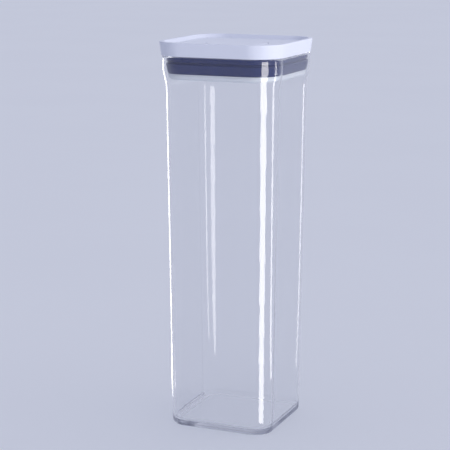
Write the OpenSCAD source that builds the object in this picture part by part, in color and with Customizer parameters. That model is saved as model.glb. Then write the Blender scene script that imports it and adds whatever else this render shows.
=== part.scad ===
// Square food canister with a push-button lid whose gasket is spread by four pushers.
// Frame: +Z up, origin at the centre of the foot, +X and +Y through two side faces, millimetres.
// Rest pose: lid seated, button pressed and latched, gasket spread against the wall.

/* [Overall] */
// height from the foot to the rim of the lid
total_h = 315; // [300:1:330]
// width of the lid across two flat sides, at its top edge
lid_w = 105; // [104:0.5:108]
// corner radius of the lid at its top edge
lid_corner_r = 24; // [23:0.5:25]

/* [Container] */
// width of the mouth, outside
mouth_w = 101.6; // [101.2:0.1:102]
// width just under the shoulder, outside
shoulder_w = 96; // [95.5:0.1:97]
// width at the top of the rounded foot, outside
base_w = 88.5; // [86:0.5:91]
// width of the flat that the canister stands on
foot_w = 83.5; // [80:0.5:84]
// wall thickness of the tapered body
wall = 2.5; // [2:0.1:3]
// wall thickness of the mouth
mouth_wall = 2.8; // [2.3:0.1:2.9]
// thickness of the floor
floor_t = 4; // [3:0.5:6]

/* [Lid] */
// height of the white band that shows above the mouth
band_h = 11; // [10.5:0.5:12]
// depth of the stacking recess in the lid's top
recess_d = 3; // [2:0.5:3]
// how far the lid's plug hangs into the mouth
plug_d = 18; // [17.9:0.1:18.2]

/* [Button] */
// diameter of the button
button_d = 50; // [48:1:50]
// how far the button rises when it is released
button_travel = 9; // [8:0.5:9]
// how far each pusher draws back when the button rises
pusher_travel = 1.5; // [1:0.1:1.6]

/* [Hidden] */
$fn = 96;
fine = 0.01;
corner_c = lid_w / 2 - lid_corner_r;  // every rounded square shares these corner centres
cover_z = total_h - band_h;           // lower edge of the lid's band
rim_z = cover_z - 0.35;               // top of the container's mouth
panel_z = total_h - recess_d;         // floor of the stacking recess
cover_t = 2.4;
ceiling_z = panel_z - cover_t;        // underside of the cover's panel
base_z = rim_z - plug_d;              // lowest face of the lid
step_top = rim_z - 9;                 // the container's shoulder runs between these two
step_low = step_top - 18;
seal_z = base_z + 4.6;                // lower edge of the gasket
deck_z = base_z + 6.7;                // shelf that the pushers slide on
deck_t = 2;
floor_z = deck_z + deck_t;
cap_top = panel_z + 0.3;
button_r = button_d / 2;
hole_r = button_r + 0.5;
cam_slope = pusher_travel / button_travel;
cam_top = floor_z + 6.7;
cam_r = 14;
boss_at = corner_c * sqrt(2) + 17.2;  // distance of the corner bosses from the axis
wall_out = 16.2;                      // offsets from the corner centres, from the plug outwards
gasket_in = 16.3;
gasket_out = off(mouth_w) - mouth_wall - 0.5;
pad_face = corner_c + 15.95;
slot_in = 26;
slot_out = 41;
post_x = 36.5;

clear_c = [0.86, 0.90, 0.93, 0.35];
white_c = [0.90, 0.91, 0.95];
pale_c = [0.82, 0.86, 0.88];
navy_c = [0.10, 0.13, 0.25];
steel_c = [0.70, 0.71, 0.73];
grey_c = [0.62, 0.65, 0.70];

// Offset of a wall from the corner centres, for a rounded square of width w.
function off(w) = w / 2 - corner_c;
// A quarter of an ellipse from [x0, z0] to [x1, z1], leaving [x0, z0] level.
function ease_out(x0, z0, x1, z1, n = 6) =
    [for (i = [0 : n]) [x0 + (x1 - x0) * sin(90 * i / n), z0 + (z1 - z0) * (1 - cos(90 * i / n))]];
// An S from [x0, z0] to [x1, z1] that leaves and arrives upright.
function s_curve(x0, z0, x1, z1, n = 8) =
    [for (i = [0 : n]) [x0 + (x1 - x0) * (1 - cos(180 * i / n)) / 2, z0 + (z1 - z0) * i / n]];

// Solid of rounded-square plan whose side follows a list of [offset, z] points, from low to high.
module loft(side) {
    n = len(side);
    for (sx = [-1, 1], sy = [-1, 1])
        translate([sx * corner_c, sy * corner_c, 0])
            rotate_extrude()
                polygon(concat([[0, side[0][1]]], side, [[0, side[n - 1][1]]]));
    for (turn = [0, 90])
        rotate([0, 0, turn])
            rotate([90, 0, 0])
                linear_extrude(2 * corner_c, center = true)
                    polygon(concat([for (p = side) [corner_c + p[0], p[1]]],
                                   [for (i = [n - 1 : -1 : 0]) [-corner_c - side[i][0], side[i][1]]]));
}

// Straight-sided rounded square between two offsets and two heights.
module ring(inner, outer, z0, z1) {
    difference() {
        loft([[outer, z0], [outer, z1]]);
        loft([[inner, z0 - 1], [inner, z1 + 1]]);
    }
}

module tube(r_in, r_out, z0, z1) {
    difference() {
        translate([0, 0, z0]) cylinder(r = r_out, h = z1 - z0);
        translate([0, 0, z0 - 1]) cylinder(r = r_in, h = z1 - z0 + 2);
    }
}

// Box from one corner to the other.
module slab(low, high) {
    translate(low) cube(high - low);
}

// Coil spring along +Z: closed turns joined by short bars on alternating sides.
module coil(mean_r, wire_r, length, turns) {
    pitch = (length - 2 * wire_r) / (turns - 1);
    for (i = [0 : turns - 1])
        translate([0, 0, wire_r + i * pitch])
            rotate_extrude()
                translate([mean_r, 0]) circle(r = wire_r);
    for (i = [0 : turns - 2])
        rotate([0, 0, 180 * (i % 2)])
            translate([mean_r, 0, wire_r + i * pitch])
                cylinder(r = wire_r * 0.8, h = pitch);
}

module container_body() {
    outer = concat(ease_out(off(foot_w), 0, off(base_w), 3.5),
                   s_curve(off(shoulder_w), step_low, off(mouth_w), step_top),
                   [[off(mouth_w), rim_z - 0.9], [off(mouth_w) - 0.25, rim_z - 0.25], [off(mouth_w) - 0.9, rim_z]]);
    inner = concat(ease_out(off(base_w) - wall - 3.5, floor_t, off(base_w) - wall + 0.1, floor_t + 4),
                   s_curve(off(shoulder_w) - wall + 0.1, step_low - 0.5, off(mouth_w) - mouth_wall, step_top - 0.5),
                   [[off(mouth_w) - mouth_wall, rim_z - 0.6], [off(mouth_w) - mouth_wall + 0.4, rim_z + fine]]);
    color(clear_c)
        difference() {
            loft(outer);
            loft(inner);
            loft([[off(foot_w) - 4.2, -1], [off(foot_w) - 4.2, 0], [off(foot_w) - 5, 0.8]]);
        }
}

module lid_cover() {
    outer = concat([[off(lid_w) - 1.4, cover_z], [off(lid_w) - 1.1, cover_z + 0.4], [off(lid_w), total_h - 1.5]],
                   [for (a = [18 : 18 : 90]) [off(lid_w) - 1.3 * (1 - cos(a)), total_h - 1.5 + 1.5 * sin(a)]]);
    color(white_c)
        difference() {
            union() {
                difference() {
                    loft(outer);
                    loft([[20.9, cover_z - 1], [20.9, ceiling_z]]);
                    loft([[18.2, panel_z], [18.7, panel_z + 0.25], [20.5, total_h - 0.35], [21, total_h + fine]]);
                }
                for (turn = [45 : 90 : 315])
                    rotate([0, 0, turn])
                        translate([boss_at, 0, cover_z + 1.8])
                            cylinder(r = 2.8, h = ceiling_z - cover_z - 1.3);
            }
            translate([0, 0, ceiling_z - 1]) cylinder(r = hole_r, h = 10);
            translate([0, 0, panel_z - 0.4]) cylinder(r1 = hole_r, r2 = hole_r + 0.5, h = 0.5);
            for (turn = [45 : 90 : 315])
                rotate([0, 0, turn])
                    translate([boss_at, 0, cover_z])
                        cylinder(r = 1.1, h = 5.1);
        }
}

// Housing inside the mouth: wall behind the gasket, flange under the cover, shelf for the pushers.
module plug_frame() {
    color(pale_c)
        difference() {
            union() {
                ring(14.2, wall_out, seal_z, cover_z + 0.1);
                ring(14.2, 20.7, cover_z, cover_z + 1.7);
                ring(12.6, 14.3, deck_z - 4.1, deck_z + fine);
                loft([[14.3, deck_z], [14.3, floor_z]]);
                for (turn = [45 : 90 : 315])
                    rotate([0, 0, turn])
                        translate([boss_at, 0, cover_z + 1])
                            cylinder(r = 1, h = 4);
                for (turn = [0 : 90 : 270])
                    rotate([0, 0, turn]) {
                        slab([20, 6.5, floor_z - 0.5], [corner_c + 12, 8.3, floor_z + 3.2]);
                        slab([20, -8.3, floor_z - 0.5], [corner_c + 12, -6.5, floor_z + 3.2]);
                        slab([post_x, -1.8, floor_z - 0.5], [post_x + 2, 1.8, floor_z + 4]);
                    }
            }
            translate([0, 0, deck_z - 1]) cylinder(r = 17, h = deck_t + 2);
            for (turn = [0 : 90 : 270])
                rotate([0, 0, turn]) {
                    slab([corner_c + 13.6, -22, floor_z], [corner_c + 17, 22, floor_z + 6.2]);
                    rotate([0, 0, 45]) translate([38.2, 0, deck_z - 1]) cylinder(r = 1.5, h = deck_t + 2);
                }
        }
}

// Pale tray that closes the lid from below and snaps onto the frame.
module lid_base() {
    outer = concat(ease_out(15.4, base_z, 17, base_z + 1.6, 4), [[17.2, seal_z - 1.2]]);
    color(pale_c) {
        difference() {
            loft(outer);
            loft([[15.6, base_z + 2], [15.6, base_z + 6]]);
        }
        translate([0, 0, base_z + 1]) cylinder(r = 4.5, h = 4.4);
        for (turn = [45 : 90 : 315])
            rotate([0, 0, turn])
                translate([38.2, 0, base_z + 1]) {
                    cylinder(r = 2.6, h = deck_z - base_z - 1.1);
                    cylinder(r = 1.4, h = floor_z - base_z - 1.3);
                }
    }
}

module base_seal() {
    color(navy_c) ring(14.4, 15.5, base_z + 2.1, seal_z - 1.3);
}

// Hollow band with an upper rib, a groove, and a lower rib that leans in below the lip that seals.
module gasket() {
    high = cover_z - 0.2;
    mid = high - 5.1;
    outer = [[gasket_in + 0.7, seal_z], [gasket_in + 1.1, seal_z + 0.4], [gasket_out - 0.8, seal_z + 3],
             [gasket_out - 0.15, mid - 2], [gasket_out, mid - 1.3], [gasket_out - 0.4, mid - 0.8],
             [gasket_out - 1.5, mid - 0.4], [gasket_out - 1.5, mid + 0.3], [gasket_out - 0.8, mid + 0.8],
             [gasket_out - 0.6, mid + 1.4], [gasket_out - 0.6, high - 1.2], [gasket_out - 0.9, high - 0.4],
             [gasket_out - 1.4, high]];
    color(navy_c)
        difference() {
            loft(outer);
            loft([[gasket_in, seal_z - 1], [gasket_in, high + 1]]);
        }
}

module gasket_retainer() {
    color(pale_c) ring(14.4, 17.4, seal_z - 1.1, seal_z - 0.1);
}

// Well that guides the button's skirt, hung from the cover.
module guide_sleeve() {
    color(white_c)
        difference() {
            union() {
                tube(hole_r, hole_r + 2, floor_z + 5.2, ceiling_z);
                tube(hole_r, hole_r + 6, ceiling_z - 1.5, ceiling_z);
                for (turn = [22.5 : 45 : 337.5])
                    rotate([0, 0, turn])
                        slab([hole_r + 1.5, -0.7, floor_z + 7], [hole_r + 5.5, 0.7, ceiling_z - 1]);
            }
            translate([0, 0, ceiling_z - 1.2]) cylinder(r = hole_r + 1.3, h = 2);
            for (turn = [0 : 90 : 270])
                rotate([0, 0, turn])
                    slab([hole_r - 1, -6.6, floor_z + 4], [hole_r + 3, 6.6, floor_z + 6]);
        }
}

module button_seal() {
    color(navy_c) tube(button_r + 0.35, hole_r + 1.2, ceiling_z - 1.1, ceiling_z - 0.1);
}

// Bent wire whose tip rides in the latch track.
module latch_pin() {
    tip_z = ceiling_z - 3.1;
    color(steel_c)
        rotate([0, 0, 45]) {
            translate([21.9, 0, floor_z]) cylinder(r = 0.6, h = tip_z - floor_z);
            translate([21.9, 0, tip_z]) sphere(r = 0.6);
            translate([19.95, 0, tip_z]) rotate([0, 90, 0]) cylinder(r = 0.55, h = 1.95);
            translate([22.4, 0, floor_z]) cylinder(r = 1.6, h = 1.5);
        }
}

module main_spring() {
    color(steel_c)
        translate([0, 0, base_z + 2.05])
            coil(5.8, 0.5, cap_top - 2.5 - base_z - 2.1, 7);
}

module button_cap() {
    color(white_c)
        difference() {
            translate([0, 0, floor_z + 5.3])
                rotate_extrude()
                    polygon([[0, 0], [button_r, 0], [button_r, cap_top - floor_z - 6.3],
                             [button_r - 0.2, cap_top - floor_z - 5.75], [button_r - 0.7, cap_top - floor_z - 5.4],
                             [button_r - 1.6, cap_top - floor_z - 5.3], [button_r - 4, cap_top - floor_z - 5.45],
                             [14, cap_top - floor_z - 5.75], [0, cap_top - floor_z - 5.9]]);
            translate([0, 0, floor_z]) cylinder(r = button_r - 2.2, h = cap_top - floor_z - 2.4);
        }
}

module button_stem() {
    color(pale_c)
        difference() {
            union() {
                translate([0, 0, base_z + 3]) cylinder(r = 10.5, h = cap_top - base_z - 5.5);
                translate([0, 0, cap_top - 4]) cylinder(r = 16, h = 1.5);
            }
            translate([0, 0, base_z]) cylinder(r = 7.6, h = cap_top - base_z);
        }
}

// Cone that spreads the pushers as the button goes down.
module pusher_cam() {
    low = base_z + 3;
    color(grey_c)
        difference() {
            union() {
                translate([0, 0, low])
                    cylinder(r1 = cam_r - (cam_top - low) * cam_slope, r2 = cam_r, h = cam_top - low);
                translate([0, 0, cam_top]) cylinder(r = 15.5, h = 1);
            }
            translate([0, 0, low - 1]) cylinder(r = 10.6, h = cam_top - low + 3);
        }
}

// Blade under the button with the looped groove that holds it down.
module latch_track() {
    top = cap_top - 2.5;
    tip_z = ceiling_z - 3.1;
    color(grey_c)
        rotate([0, 0, 45])
            difference() {
                slab([18.3, -2.4, floor_z + 1.2], [20.7, 6.6, top]);
                slab([19.3, -1, tip_z - button_travel - 0.1], [21, 1, tip_z + 0.2]);
                slab([19.3, 3.2, tip_z - button_travel + 0.9], [21, 5, tip_z - 0.9]);
                slab([19.3, -1, tip_z - 0.9], [21, 5, tip_z + 0.9]);
                slab([19.3, -1, tip_z - button_travel - 0.9], [21, 5, tip_z - button_travel + 0.9]);
                translate([19.3, 2.1, tip_z - 1]) rotate([0, 90, 0]) cylinder(r = 0.8, h = 2);
            }
}

// Bar with a pad at its outer end, a tip that lies along the cone, and a slot for its spring.
module pusher() {
    low = floor_z + 0.4;
    high = floor_z + 4.4;
    tip = cam_r + 0.4;
    color(grey_c)
        difference() {
            union() {
                rotate([90, 0, 0])
                    linear_extrude(12, center = true)
                        polygon([[tip - (cam_top - low) * cam_slope, low], [pad_face - 1.5, low],
                                 [pad_face - 1.5, high], [tip - (cam_top - high) * cam_slope, high]]);
                slab([pad_face - 1.6, -20.5, low], [pad_face, 20.5, floor_z + 5.6]);
            }
            slab([slot_in, -2.4, floor_z], [slot_out, 2.4, floor_z + 6]);
        }
}

// Small return spring between a post on the shelf and the inner end of the pusher's slot.
module pusher_spring() {
    color(steel_c)
        translate([slot_in + 0.05, 0, floor_z + 2.4])
            rotate([0, 90, 0])
                coil(1.5, 0.25, post_x - slot_in - 0.1, 7);
}

container_body();
lid_cover();
plug_frame();
lid_base();
base_seal();
gasket();
gasket_retainer();
guide_sleeve();
button_seal();
latch_pin();
main_spring();
button_cap();
button_stem();
pusher_cam();
latch_track();
pusher();  // pusher_right
rotate([0, 0, 90]) pusher();  // pusher_back
rotate([0, 0, 180]) pusher();  // pusher_left
rotate([0, 0, 270]) pusher();  // pusher_front
pusher_spring();  // spring_right
rotate([0, 0, 90]) pusher_spring();  // spring_back
rotate([0, 0, 180]) pusher_spring();  // spring_left
rotate([0, 0, 270]) pusher_spring();  // spring_front
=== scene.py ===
"""Looks for the square push-button food canister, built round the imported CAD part."""
import bpy
from math import atan2, cos, pi, radians, sin, tan
from mathutils import Matrix, Vector

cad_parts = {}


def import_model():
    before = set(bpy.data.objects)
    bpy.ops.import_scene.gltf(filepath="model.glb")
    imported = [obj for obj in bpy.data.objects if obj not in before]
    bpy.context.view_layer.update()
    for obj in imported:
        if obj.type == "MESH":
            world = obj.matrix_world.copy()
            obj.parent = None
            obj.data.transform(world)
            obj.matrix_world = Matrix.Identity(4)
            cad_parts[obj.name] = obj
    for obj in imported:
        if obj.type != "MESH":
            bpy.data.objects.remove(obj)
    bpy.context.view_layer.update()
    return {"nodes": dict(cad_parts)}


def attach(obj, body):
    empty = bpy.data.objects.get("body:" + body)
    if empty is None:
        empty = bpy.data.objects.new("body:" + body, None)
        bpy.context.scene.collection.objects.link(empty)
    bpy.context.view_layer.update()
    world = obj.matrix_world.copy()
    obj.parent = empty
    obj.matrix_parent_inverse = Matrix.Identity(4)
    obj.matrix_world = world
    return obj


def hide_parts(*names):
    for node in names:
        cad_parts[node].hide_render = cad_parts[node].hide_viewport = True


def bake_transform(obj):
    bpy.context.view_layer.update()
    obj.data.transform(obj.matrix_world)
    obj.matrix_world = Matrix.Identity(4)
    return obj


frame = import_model()

# ---------------------------------------------------------------- driving sizes, in millimetres
TOTAL_H = 315.0
LID_W = 105.0
LID_CORNER_R = 24.0
MOUTH_W = 101.6
SHOULDER_W = 96.0
BASE_W = 88.5
FOOT_W = 83.5
BAND_H = 11.0
RECESS_D = 3.0
PLUG_D = 18.0
BUTTON_R = 25.0
HOLE_R = 25.5
WALL = 2.5
MOUTH_WALL = 2.8
FLOOR_T = 4.0
CAP_T = 2.5          # thickness of the button's top
SKIRT_T = 2.2        # and of its skirt
TRAY_T = 2.0
MAIN_COIL = (5.8, 0.5, 8)         # mean radius, wire radius and turns
RETURN_COIL = (1.5, 0.25, 9)
RETURN_IN = 26.05    # the return springs' two ends, from the axis
RETURN_OUT = 36.45

CORNER_C = LID_W / 2 - LID_CORNER_R   # every rounded square shares these corner centres
COVER_Z = TOTAL_H - BAND_H
RIM_Z = COVER_Z - 0.35
PANEL_Z = TOTAL_H - RECESS_D
CEILING_Z = PANEL_Z - 2.4
BASE_Z = RIM_Z - PLUG_D
FLOOR_Z = BASE_Z + 8.7        # top of the shelf that the pushers slide on
CAP_TOP = PANEL_Z + 0.3
SKIRT_Z = FLOOR_Z + 5.3       # lower edge of the button's skirt
COVER_IN = 20.9               # offset of the inside of the cover's band
FLAT_IN = 14.0                # offset where the cover's squares give way to circles
STEP_TOP = RIM_Z - 9.0        # the container's shoulder runs between these two
STEP_LOW = STEP_TOP - 18.0
SEAL_Z = BASE_Z + 4.6         # lower edge of the gasket
SEAL_IN = 16.3                # offset of its inner face
TRAY_RIM_Z = SEAL_Z - 1.2
MM = 0.001


def off(width):
    """Offset of a wall from the corner centres, for a rounded square of that width."""
    return width / 2 - CORNER_C


# ---------------------------------------------------------------- profiles
def rounded(points, steps=6):
    """A polyline of (x, z, radius) points, with each corner that has a radius turned into a curve."""
    out = []
    last = len(points) - 1
    for i, point in enumerate(points):
        x, z = point[0], point[1]
        r = point[2] if len(point) > 2 else 0.0
        if r <= 0 or i == 0 or i == last:
            out.append((x, z))
            continue
        here = Vector((x, z))
        back = Vector(points[i - 1][:2]) - here
        ahead = Vector(points[i + 1][:2]) - here
        turn = back.angle(ahead)
        wanted = r / max(1e-6, abs(sin(turn / 2) / cos(turn / 2)))
        reach = min(wanted, 0.48 * back.length, 0.48 * ahead.length)
        start = here + back.normalized() * reach
        end = here + ahead.normalized() * reach
        for k in range(steps + 1):
            t = k / steps
            p = start * (1 - t) ** 2 + here * (2 * t * (1 - t)) + end * t ** 2
            out.append((p.x, p.y))
    return out


def s_curve(x0, z0, x1, z1, n=14):
    """An S that leaves (x0, z0) and reaches (x1, z1) upright."""
    return [
        (x0 + (x1 - x0) * (1 - cos(pi * i / n)) / 2, z0 + (z1 - z0) * i / n)
        for i in range(n + 1)
    ]


def ease(x0, z0, x1, z1, n=9):
    """A quarter of an ellipse that leaves (x0, z0) level and reaches (x1, z1) upright."""
    return [
        (x0 + (x1 - x0) * sin(pi / 2 * i / n), z0 + (z1 - z0) * (1 - cos(pi / 2 * i / n)))
        for i in range(n + 1)
    ]


# ---------------------------------------------------------------- rings
ARC = 14          # steps round each corner
HALF_SIDE = 4     # steps along half of each flat side


def square_ring(offset, z):
    """Points of a rounded square, anticlockwise from the middle of the right side."""
    points = []
    for quarter in range(4):
        turn = Matrix.Rotation(quarter * pi / 2, 2)
        upright = [(CORNER_C + offset, CORNER_C * k / HALF_SIDE) for k in range(HALF_SIDE)]
        arc = [
            (CORNER_C + offset * cos(pi / 2 * k / ARC), CORNER_C + offset * sin(pi / 2 * k / ARC))
            for k in range(ARC + 1)
        ]
        level = [(CORNER_C - CORNER_C * k / HALF_SIDE, CORNER_C + offset) for k in range(1, HALF_SIDE)]
        for p in upright + arc + level:
            q = turn @ Vector(p)
            points.append((q.x, q.y, z))
    return points


BEARINGS = [atan2(p[1], p[0]) for p in square_ring(18.0, 0.0)]


def guide_ring(radius, z):
    """A circle whose points lie at the same bearings as a rounded square's."""
    return [(radius * cos(a), radius * sin(a), z) for a in BEARINGS]


def round_ring(radius, z, n=96):
    """A circle in n even steps."""
    return [(radius * cos(2 * pi * k / n), radius * sin(2 * pi * k / n), z) for k in range(n)]


def skin(name, rings, close=False, cap_first=False, cap_last=False):
    """A mesh through rings that all have as many points, given in millimetres."""
    n = len(rings[0])
    verts = [tuple(c * MM for c in p) for r in rings for p in r]
    faces = []
    count = len(rings)
    for i in range(count if close else count - 1):
        a, b = i * n, ((i + 1) % count) * n
        for k in range(n):
            m = (k + 1) % n
            faces.append((a + k, a + m, b + m, b + k))
    if cap_first:
        faces.append(tuple(reversed(range(n))))
    if cap_last:
        faces.append(tuple(range((count - 1) * n, count * n)))
    mesh = bpy.data.meshes.new(name)
    mesh.from_pydata(verts, [], faces)
    mesh.validate()
    mesh.update()
    obj = bpy.data.objects.new(name, mesh)
    bpy.context.scene.collection.objects.link(obj)
    finish_mesh(obj)
    return obj


def finish_mesh(obj, sharp=35.0):
    """Outward normals, and smooth shading that keeps flats flat and edges over sharp degrees crisp."""
    bpy.ops.object.select_all(action="DESELECT")
    obj.select_set(True)
    bpy.context.view_layer.objects.active = obj
    bpy.ops.object.mode_set(mode="EDIT")
    bpy.ops.mesh.select_all(action="SELECT")
    bpy.ops.mesh.normals_make_consistent(inside=False)
    bpy.ops.object.mode_set(mode="OBJECT")
    for poly in obj.data.polygons:
        poly.use_smooth = True
    obj.data.set_sharp_from_angle(angle=radians(sharp))
    weighted = obj.modifiers.new("flat_faces_stay_flat", "WEIGHTED_NORMAL")
    weighted.keep_sharp = True
    weighted.weight = 60


# ---------------------------------------------------------------- material helpers
def tree(name):
    """A new material, its nodes and links, and its Principled shader."""
    mat = bpy.data.materials.new(name)
    mat.use_nodes = True
    nodes = mat.node_tree.nodes
    return mat, nodes, mat.node_tree.links, nodes["Principled BSDF"]


def noise(nodes, links, scale, detail=3.0, rough=0.5, stretch=None):
    """Noise on object coordinates, which are metres, so that it doesn't depend on UVs."""
    coords = nodes.new("ShaderNodeTexCoord")
    tex = nodes.new("ShaderNodeTexNoise")
    tex.inputs["Scale"].default_value = scale
    tex.inputs["Detail"].default_value = detail
    tex.inputs["Roughness"].default_value = rough
    if stretch:
        mapping = nodes.new("ShaderNodeMapping")
        mapping.inputs["Scale"].default_value = stretch
        links.new(coords.outputs["Object"], mapping.inputs["Vector"])
        links.new(mapping.outputs["Vector"], tex.inputs["Vector"])
    else:
        links.new(coords.outputs["Object"], tex.inputs["Vector"])
    return tex.outputs["Fac"]


def spread(nodes, links, value, low, high, start=0.35, stop=0.65):
    """Maps a noise value to a range."""
    node = nodes.new("ShaderNodeMapRange")
    node.inputs["From Min"].default_value = start
    node.inputs["From Max"].default_value = stop
    node.inputs["To Min"].default_value = low
    node.inputs["To Max"].default_value = high
    links.new(value, node.inputs["Value"])
    return node.outputs["Result"]


def tint(nodes, links, value, low, high):
    """A colour between two, by a noise value."""
    node = nodes.new("ShaderNodeMix")
    node.data_type = "RGBA"
    node.inputs["A"].default_value = (*low, 1)
    node.inputs["B"].default_value = (*high, 1)
    links.new(value, node.inputs["Factor"])
    return node.outputs["Result"]


def bump(nodes, links, shader, height, distance, strength):
    """Relief on the shader's normal, distance deep in metres."""
    node = nodes.new("ShaderNodeBump")
    node.inputs["Strength"].default_value = strength
    node.inputs["Distance"].default_value = distance
    links.new(height, node.inputs["Height"])
    links.new(node.outputs["Normal"], shader.inputs["Normal"])


def maths(nodes, links, operation, first, second):
    """One Math node; second may be a number."""
    node = nodes.new("ShaderNodeMath")
    node.operation = operation
    links.new(first, node.inputs[0])
    if isinstance(second, float):
        node.inputs[1].default_value = second
    else:
        links.new(second, node.inputs[1])
    return node.outputs["Value"]


def clear_plastic():
    """Moulded copolyester: clear, with a faint waviness and a few rubbed spots.

    Shadow rays, diffuse rays, mirrored rays that come back late and rays trapped in the wall go straight
    through, so that the base doesn't turn dark.
    """
    mat, nodes, links, shader = tree("clear_plastic")
    shader.inputs["Base Color"].default_value = (0.985, 0.986, 0.99, 1)
    shader.inputs["Transmission Weight"].default_value = 1.0
    shader.inputs["IOR"].default_value = 1.5
    rubbed = noise(nodes, links, 260.0, 6.0, 0.6)
    links.new(spread(nodes, links, rubbed, 0.012, 0.05, 0.45, 0.75), shader.inputs["Roughness"])
    waves = noise(nodes, links, 16.0, 1.0, 0.4, (1, 1, 0.35))
    bump(nodes, links, shader, waves, 0.0012, 0.35)
    path = nodes.new("ShaderNodeLightPath")
    clear = nodes.new("ShaderNodeBsdfTransparent")
    clear.inputs["Color"].default_value = (0.97, 0.972, 0.976, 1)
    mix = nodes.new("ShaderNodeMixShader")
    facing = nodes.new("ShaderNodeNewGeometry").outputs["Backfacing"]
    outside = maths(nodes, links, "LESS_THAN", facing, 0.5)
    late = maths(nodes, links, "GREATER_THAN", path.outputs["Ray Depth"], 2.5)
    enters = maths(nodes, links, "MULTIPLY", outside, late)
    leaves = maths(nodes, links, "GREATER_THAN", path.outputs["Transparent Depth"], 0.5)
    passing = maths(nodes, links, "MAXIMUM", enters, leaves)
    mirrored = maths(nodes, links, "MULTIPLY", path.outputs["Is Glossy Ray"], passing)
    trapped = maths(nodes, links, "GREATER_THAN", path.outputs["Ray Depth"], 11.5)
    lit = maths(nodes, links, "MAXIMUM", path.outputs["Is Shadow Ray"], path.outputs["Is Diffuse Ray"])
    let_out = maths(nodes, links, "MAXIMUM", mirrored, trapped)
    links.new(maths(nodes, links, "MAXIMUM", lit, let_out), mix.inputs["Fac"])
    depth = nodes.new("ShaderNodeVolumeAbsorption")
    depth.inputs["Color"].default_value = (0.76, 0.765, 0.80, 1)
    depth.inputs["Density"].default_value = 24.0
    links.new(depth.outputs["Volume"], nodes["Material Output"].inputs["Volume"])
    links.new(shader.outputs["BSDF"], mix.inputs[1])
    links.new(clear.outputs["BSDF"], mix.inputs[2])
    links.new(mix.outputs["Shader"], nodes["Material Output"].inputs["Surface"])
    return mat


def white_plastic():
    """Satin white ABS with a very fine moulded texture."""
    mat, nodes, links, shader = tree("white_plastic")
    cloud = noise(nodes, links, 40.0, 4.0)
    white = tint(nodes, links, cloud, (0.762, 0.782, 0.875), (0.782, 0.80, 0.89))
    links.new(white, shader.inputs["Base Color"])
    smudge = noise(nodes, links, 90.0, 5.0, 0.6)
    links.new(spread(nodes, links, smudge, 0.29, 0.35), shader.inputs["Roughness"])
    shader.inputs["IOR"].default_value = 1.5
    shader.inputs["Specular IOR Level"].default_value = 0.35
    shader.inputs["Subsurface Weight"].default_value = 0.06
    shader.inputs["Subsurface Radius"].default_value = (0.004, 0.004, 0.004)
    shader.inputs["Subsurface Scale"].default_value = 0.4
    grain = noise(nodes, links, 1500.0, 1.0)
    bump(nodes, links, shader, grain, 0.00002, 0.12)
    return mat


def pale_plastic():
    """Pale, slightly milky plastic of the lid's underside."""
    mat, nodes, links, shader = tree("pale_plastic")
    cloud = noise(nodes, links, 55.0, 4.0)
    pale = tint(nodes, links, cloud, (0.76, 0.79, 0.82), (0.80, 0.83, 0.86))
    links.new(pale, shader.inputs["Base Color"])
    smudge = noise(nodes, links, 120.0, 5.0)
    links.new(spread(nodes, links, smudge, 0.28, 0.42), shader.inputs["Roughness"])
    shader.inputs["Subsurface Weight"].default_value = 0.25
    shader.inputs["Subsurface Radius"].default_value = (0.004, 0.0045, 0.005)
    shader.inputs["Subsurface Scale"].default_value = 0.6
    shader.inputs["IOR"].default_value = 1.48
    return mat


def grey_plastic():
    """Matte working parts inside the lid."""
    mat, nodes, links, shader = tree("grey_plastic")
    cloud = noise(nodes, links, 140.0, 4.0)
    grey = tint(nodes, links, cloud, (0.29, 0.31, 0.34), (0.34, 0.36, 0.39))
    links.new(grey, shader.inputs["Base Color"])
    links.new(spread(nodes, links, cloud, 0.42, 0.58), shader.inputs["Roughness"])
    grain = noise(nodes, links, 1800.0, 2.0)
    bump(nodes, links, shader, grain, 0.00005, 0.5)
    return mat


def navy_silicone():
    """Soft dark silicone, a little dusty."""
    mat, nodes, links, shader = tree("navy_silicone")
    dust = noise(nodes, links, 180.0, 6.0, 0.65)
    navy = tint(nodes, links, dust, (0.004, 0.012, 0.095), (0.009, 0.021, 0.125))
    links.new(navy, shader.inputs["Base Color"])
    links.new(spread(nodes, links, dust, 0.26, 0.4), shader.inputs["Roughness"])
    shader.inputs["IOR"].default_value = 1.43
    grain = noise(nodes, links, 2200.0, 3.0)
    bump(nodes, links, shader, grain, 0.00005, 0.6)
    return mat


def spring_steel():
    """Drawn wire."""
    mat, nodes, links, shader = tree("spring_steel")
    scuffs = noise(nodes, links, 900.0, 3.0)
    steel = tint(nodes, links, scuffs, (0.48, 0.49, 0.51), (0.62, 0.63, 0.65))
    links.new(steel, shader.inputs["Base Color"])
    links.new(spread(nodes, links, scuffs, 0.22, 0.38), shader.inputs["Roughness"])
    shader.inputs["Metallic"].default_value = 1.0
    return mat


MATERIALS = {
    "clear_plastic": clear_plastic(),
    "white_plastic": white_plastic(),
    "pale_plastic": pale_plastic(),
    "grey_plastic": grey_plastic(),
    "navy_silicone": navy_silicone(),
    "spring_steel": spring_steel(),
}


def place(obj, body, slot, *nodes):
    """Gives a new piece its material, its body and the CAD nodes it stands for."""
    obj.data.materials.clear()
    obj.data.materials.append(MATERIALS[slot])
    if body:
        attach(obj, body)
    if nodes:
        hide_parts(*nodes)
    return obj


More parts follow.
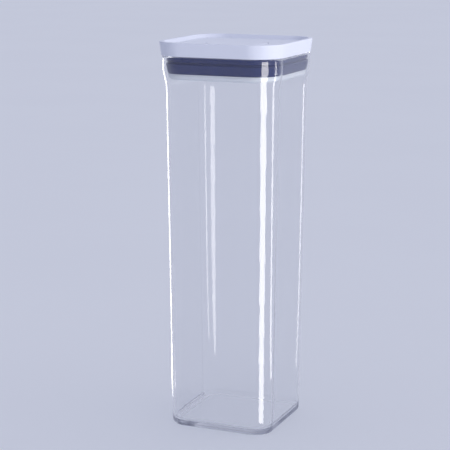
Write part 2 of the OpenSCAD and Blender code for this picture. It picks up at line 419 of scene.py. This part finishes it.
# ---------------------------------------------------------------- the container
def container():
    """The clear container: up the outside from the recess under its foot, over the rim, down the inside."""
    foot, mouth = off(FOOT_W), off(MOUTH_W)
    foot_in = off(BASE_W) - WALL + 0.1
    shoulder_in = off(SHOULDER_W) - WALL + 0.1
    mouth_in = mouth - MOUTH_WALL
    rim_r = MOUTH_WALL / 2
    recess = [(foot - 5.2, 0.8), (foot - 4.9, 0.75), (foot - 4.3, 0.1), (foot - 3.9, 0.0)]
    rim = [
        (mouth - rim_r + rim_r * cos(pi * k / 14), RIM_Z - rim_r + rim_r * sin(pi * k / 14))
        for k in range(15)
    ]
    outer = (
        recess
        + [(foot - 1.2, 0.0)]
        + ease(foot - 0.2, 0.0, off(BASE_W), 3.5)
        + s_curve(off(SHOULDER_W), STEP_LOW, mouth, STEP_TOP)
        + [(mouth, RIM_Z - 1.6)]
    )
    inner = (
        ease(foot_in - 3.6, FLOOR_T, foot_in, FLOOR_T + 4.0)
        + s_curve(shoulder_in, STEP_LOW - 0.5, mouth_in, STEP_TOP - 0.5)
        + [(mouth_in, RIM_Z - 1.6)]
    )
    rings = [square_ring(x, z) for x, z in outer + rim + inner[::-1]]
    body = skin("clear_container", rings, cap_first=True, cap_last=True)
    return place(body, "container", "clear_plastic", "container_body")


# ---------------------------------------------------------------- the lid
def cover():
    """The white cover: rounded squares outside and inside, circles round the button's hole."""
    edge = off(LID_W)
    side = rounded([
        (COVER_IN, COVER_Z + 3.0), (COVER_IN, COVER_Z, 0.25), (edge - 1.35, COVER_Z, 0.35),
        (edge, TOTAL_H - 1.2), (edge + 0.02, TOTAL_H, 1.6), (20.7, TOTAL_H, 0.5), (18.5, PANEL_Z, 1.0),
        (FLAT_IN, PANEL_Z),
    ])
    rings = [square_ring(min(x, edge), z) for x, z in side]
    hole = rounded([
        (HOLE_R + 3.0, PANEL_Z), (HOLE_R, PANEL_Z, 0.9), (HOLE_R, CEILING_Z, 0.2),
        (HOLE_R + 2.0, CEILING_Z),
    ])
    rings += [guide_ring(r, z) for r, z in hole]
    ceiling = [(FLAT_IN, CEILING_Z), (COVER_IN - 0.9, CEILING_Z), (COVER_IN, CEILING_Z - 0.9)]
    rings += [square_ring(x, z) for x, z in ceiling]
    lid = skin("lid_shell", rings, close=True)
    return place(lid, "lid", "white_plastic", "lid_cover")


def button():
    """The push button: dished top, rounded edge, and the skirt that shows when it is up."""
    skirt_in = BUTTON_R - SKIRT_T
    under_z = CAP_TOP - CAP_T
    under = [(0.6, under_z), (12.0, under_z), (BUTTON_R - 3.0, under_z)]
    outline = rounded([
        (skirt_in, under_z), (skirt_in, SKIRT_Z, 0.3), (BUTTON_R, SKIRT_Z, 0.3), (BUTTON_R, CAP_TOP, 1.5),
        (BUTTON_R - 2.6, CAP_TOP, 2.0), (BUTTON_R - 5.0, CAP_TOP - 0.16, 3.0),
        (14.0, CAP_TOP - 0.45, 4.0), (7.0, CAP_TOP - 0.57),
    ])
    dish = [(r, CAP_TOP - 0.6 + 0.03 * (r / 7.0) ** 2) for r in (4.5, 2.0, 0.6)]
    rings = [round_ring(r, z) for r, z in under + outline + dish]
    top = skin("push_button", rings, cap_first=True, cap_last=True)
    return place(top, "button", "white_plastic", "button_cap")


def seal():
    """The gasket: an upper rib, a groove, and a lower rib that leans in below the lip that seals."""
    low, high = SEAL_Z, COVER_Z - 0.2
    mid = high - 5.1
    face = off(MOUTH_W) - MOUTH_WALL - 0.5
    outline = rounded([
        (SEAL_IN, mid), (SEAL_IN, low, 0.2), (SEAL_IN + 0.9, low, 0.3), (face - 0.8, low + 3.0, 2.5),
        (face, mid - 1.3, 0.8), (face - 0.5, mid - 0.7, 0.3), (face - 1.7, mid - 0.5, 0.3),
        (face - 1.7, mid + 0.4, 0.3), (face - 0.6, mid + 0.8, 0.5), (face - 0.65, (mid + high) / 2, 0.8),
        (face - 0.6, high - 1.2, 0.6), (face - 1.4, high, 0.4), (SEAL_IN, high, 0.2), (SEAL_IN, mid + 0.1),
    ])
    rings = [square_ring(x, z) for x, z in outline]
    band = skin("sealing_band", rings, close=True)
    return place(band, "lid", "navy_silicone", "gasket")


def tray():
    """The pale tray that closes the lid from below, with a step under it and an upright rim."""
    outline = rounded([
        (10.0, BASE_Z + 0.5), (12.4, BASE_Z + 0.5, 0.3), (12.9, BASE_Z, 0.3), (15.4, BASE_Z, 0.8),
        (17.0, BASE_Z + 1.6, 1.0), (17.2, TRAY_RIM_Z, 0.25), (15.6, TRAY_RIM_Z, 0.25),
        (15.6, BASE_Z + TRAY_T, 0.4), (10.0, BASE_Z + TRAY_T),
    ])
    rings = [square_ring(x, z) for x, z in outline]
    pan = skin("lid_tray", rings, cap_first=True, cap_last=True)
    return place(pan, "lid", "pale_plastic", "lid_base")


def wire(name, points, radius):
    """A round wire along points, as a mesh."""
    curve = bpy.data.curves.new(name, "CURVE")
    curve.dimensions = "3D"
    curve.bevel_depth = radius * MM
    curve.bevel_resolution = 4
    curve.use_fill_caps = True
    spline = curve.splines.new("POLY")
    spline.points.add(len(points) - 1)
    for target, p in zip(spline.points, points):
        target.co = (p[0] * MM, p[1] * MM, p[2] * MM, 1)
    holder = bpy.data.objects.new(name + "_curve", curve)
    bpy.context.scene.collection.objects.link(holder)
    bpy.context.view_layer.update()
    shaped = holder.evaluated_get(bpy.context.evaluated_depsgraph_get())
    mesh = bpy.data.meshes.new_from_object(shaped)
    bpy.data.objects.remove(holder)
    obj = bpy.data.objects.new(name, mesh)
    bpy.context.scene.collection.objects.link(obj)
    for poly in obj.data.polygons:
        poly.use_smooth = True
    return obj


def helix(mean_r, wire_r, length, turns, per_turn):
    """Points of a compression spring along +Z, with a nearly closed turn at each end."""
    points = []
    for i in range(turns * per_turn + 1):
        t = i / per_turn
        first = min(t, 1)
        last = min(max(t - (turns - 1), 0), 1)
        between = min(max((t - 0.9) / (turns - 1.8), 0.0), 1.0)
        z = wire_r * (1 + first + last) + (length - 4 * wire_r) * between
        points.append((mean_r * cos(2 * pi * t), mean_r * sin(2 * pi * t), z))
    return points


def lifting_spring():
    """Between the tray and the button, which it pushes up."""
    mean_r, wire_r, turns = MAIN_COIL
    low = BASE_Z + TRAY_T + 0.05
    high = CAP_TOP - CAP_T - 0.05
    points = [(x, y, z + low) for x, y, z in helix(mean_r, wire_r, high - low, turns, 28)]
    spring = wire("lifting_spring", points, wire_r)
    place(spring, None, "spring_steel", "main_spring")
    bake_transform(spring)


def return_spring(name, spin):
    """Between a post on the shelf and the inner end of a pusher's slot; it pushes the pusher inwards."""
    mean_r, wire_r, turns = RETURN_COIL
    height = FLOOR_Z + 2.4
    points = []
    for x, y, z in helix(mean_r, wire_r, RETURN_OUT - RETURN_IN, turns, 20):
        p = spin @ Vector((RETURN_IN + z, y, height + x))
        points.append((p.x, p.y, p.z))
    spring = wire(f"return_spring_{name}", points, wire_r)
    place(spring, None, "spring_steel", f"spring_{name}")
    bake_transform(spring)


clear_wall = container()
cover()
button()
seal()
tray()
lifting_spring()
for quarter, side_name in enumerate(("right", "back", "left", "front")):
    return_spring(side_name, Matrix.Rotation(quarter * pi / 2, 3, "Z"))

CARRIED = {
    "pale_plastic": ("plug_frame", "gasket_retainer", "button_stem"),
    "white_plastic": ("guide_sleeve",),
    "navy_silicone": ("base_seal", "button_seal"),
    "spring_steel": ("latch_pin",),
    "grey_plastic": ("pusher_cam", "latch_track", "pusher_right", "pusher_back", "pusher_left", "pusher_front"),
}
for slot, nodes in CARRIED.items():
    for node in nodes:
        mesh = frame["nodes"][node].data
        mesh.materials.clear()
        mesh.materials.append(MATERIALS[slot])


# ---------------------------------------------------------------- floor, light and camera
FLOOR_R = 14.0
FLOOR_DROP = 0.0002     # how far the floor lies under the foot


def floor(n=64):
    """A pale, matte disc that the canister stands on."""
    mesh = bpy.data.meshes.new("floor")
    turns = [2 * pi * k / n for k in range(n)]
    rim = [(FLOOR_R * cos(turn), FLOOR_R * sin(turn), -FLOOR_DROP) for turn in turns]
    mesh.from_pydata(rim, [], [tuple(range(n))])
    obj = bpy.data.objects.new("floor", mesh)
    bpy.context.scene.collection.objects.link(obj)
    mat, nodes, links, shader = tree("pale_floor")
    cloud = noise(nodes, links, 3.0, 3.0)
    pale = tint(nodes, links, cloud, (0.88, 0.885, 0.90), (0.91, 0.915, 0.925))
    links.new(pale, shader.inputs["Base Color"])
    shader.inputs["Roughness"].default_value = 0.85
    shader.inputs["Specular IOR Level"].default_value = 0.0
    mesh.materials.append(mat)
    return obj


def area(name, place_at, turn, size, power, colour):
    """A soft rectangular light that shows in gloss, but not to the camera or through the clear wall."""
    data = bpy.data.lights.new(name, "AREA")
    data.shape = "RECTANGLE"
    data.size, data.size_y = size
    data.energy = power
    data.color = colour
    obj = bpy.data.objects.new(name, data)
    obj.location = place_at
    obj.rotation_euler = turn
    obj.visible_camera = False
    obj.visible_transmission = False
    bpy.context.scene.collection.objects.link(obj)
    return obj


def link_light(lamp, state, *objects):
    """INCLUDE lights those objects alone, and EXCLUDE lights all but those objects."""
    linked = bpy.data.collections.new(lamp.name + "_linked")
    lamp.light_linking.receiver_collection = linked
    for obj in objects:
        linked.objects.link(obj)
    for entry in linked.collection_objects:
        entry.light_linking.link_state = state


FAN_REACH = 3.4     # how far the floor cards run
FAN_CARDS = 13
FAN_LIFT = 0.002    # their height above the floor
FAN_COLOUR = (1.0, 0.975, 0.94)


def streak(name, apex, bearing, half_angle, start, brightness, wall):
    """A fan of reflector cards along the floor from its apex, mirrored as one streak down a clear corner.

    They show only in the clear wall's gloss, and light nothing else.
    """
    ahead = Vector((cos(bearing), sin(bearing), 0))
    growth = (FAN_REACH / start) ** (1 / FAN_CARDS)
    for number in range(FAN_CARDS):
        near = start * growth ** number
        far = near * growth
        middle = (near + far) / 2
        size = (2 * middle * tan(half_angle), far - near)
        centre = Vector((*apex, FAN_LIFT)) + ahead * middle
        power = brightness * pi * size[0] * size[1]
        card = area(f"{name}_{number}", centre, (pi, 0, bearing - pi / 2), size, power, FAN_COLOUR)
        card.visible_diffuse = False
        link_light(card, "INCLUDE", wall)


def world():
    """Soft bluish room light: brightest from above, behind and the right, darkest from the front left."""
    room = bpy.data.worlds.new("room")
    room.use_nodes = True
    bpy.context.scene.world = room
    nodes, links = room.node_tree.nodes, room.node_tree.links
    back = nodes["Background"]
    coords = nodes.new("ShaderNodeTexCoord")
    towards = nodes.new("ShaderNodeVectorMath")
    towards.operation = "DOT_PRODUCT"
    towards.inputs[1].default_value = (0.45, 0.5, 0.5)
    to_unit = nodes.new("ShaderNodeMapRange")
    to_unit.inputs["From Min"].default_value = -0.6
    to_unit.inputs["From Max"].default_value = 0.9
    ramp = nodes.new("ShaderNodeValToRGB")
    dark, bright = ramp.color_ramp.elements
    dark.color = (0.18, 0.21, 0.34, 1)
    bright.color = (0.90, 0.93, 1.06, 1)
    links.new(coords.outputs["Generated"], towards.inputs[0])
    links.new(towards.outputs["Value"], to_unit.inputs["Value"])
    links.new(to_unit.outputs["Result"], ramp.inputs["Fac"])
    links.new(ramp.outputs["Color"], back.inputs["Color"])
    back.inputs["Strength"].default_value = 0.97


EYE_DISTANCE = 1.20     # metres from the canister's axis
EYE_BEARING = 0.392     # radians round from the front side face
EYE_HEIGHT = 0.4105
EYE_PAN = 0.008         # radians that it turns off the axis, tips down and rolls
EYE_TIP = 0.2033
EYE_ROLL = -0.0006
LENS = 119.4


def camera():
    """At the height and bearing the canister is seen from, tipped down to it."""
    yaw = EYE_BEARING + EYE_PAN
    ahead = Vector((-sin(yaw) * cos(EYE_TIP), cos(yaw) * cos(EYE_TIP), -sin(EYE_TIP)))
    right = Vector((cos(yaw), sin(yaw), 0))
    up = right.cross(ahead)
    x_axis = right * cos(EYE_ROLL) + up * sin(EYE_ROLL)
    y_axis = up * cos(EYE_ROLL) - right * sin(EYE_ROLL)
    data = bpy.data.cameras.new("camera")
    data.sensor_width = 36
    data.lens = LENS
    data.clip_start = 0.05
    data.clip_end = 60
    obj = bpy.data.objects.new("camera", data)
    turn = Matrix((x_axis, y_axis, -ahead)).transposed().to_4x4()
    eye = (EYE_DISTANCE * sin(EYE_BEARING), -EYE_DISTANCE * cos(EYE_BEARING), EYE_HEIGHT)
    obj.matrix_world = Matrix.Translation(eye) @ turn
    bpy.context.scene.collection.objects.link(obj)
    bpy.context.scene.camera = obj


WINDOW_AT = Vector((1.36, -0.64, 0.44))
WINDOW_AIM = Vector((0, 0, 0.26))
WINDOW_SIZE = (1.3, 0.8)
WINDOW_POWER = 13.5
WINDOW_COLOUR = (1.0, 0.995, 0.985)
window_turn = (WINDOW_AIM - WINDOW_AT).to_track_quat("-Z", "Y").to_euler()
window = area("window", WINDOW_AT, window_turn, WINDOW_SIZE, WINDOW_POWER, WINDOW_COLOUR)
link_light(window, "EXCLUDE", floor(), clear_wall)

AXIS = (0, 0)
NEAR_CORNER = (0.033, -0.037)
streak("near_corner", NEAR_CORNER, radians(-35), radians(13.8), 0.028, 10.8, clear_wall)
streak("near_edge", AXIS, radians(14.5), radians(4.5), 0.16, 8.0, clear_wall)
streak("left_corner", AXIS, radians(153), radians(8.5), 0.09, 5.0, clear_wall)
world()
camera()

scene = bpy.context.scene
scene.view_settings.view_transform = "Standard"
scene.view_settings.look = "None"
scene.cycles.max_bounces = 32
scene.cycles.transmission_bounces = 24
scene.cycles.glossy_bounces = 24
scene.cycles.transparent_max_bounces = 16
scene.cycles.caustics_reflective = False
scene.cycles.caustics_refractive = False
scene.cycles.use_denoising = True
scene.cycles.sample_clamp_indirect = 6.0
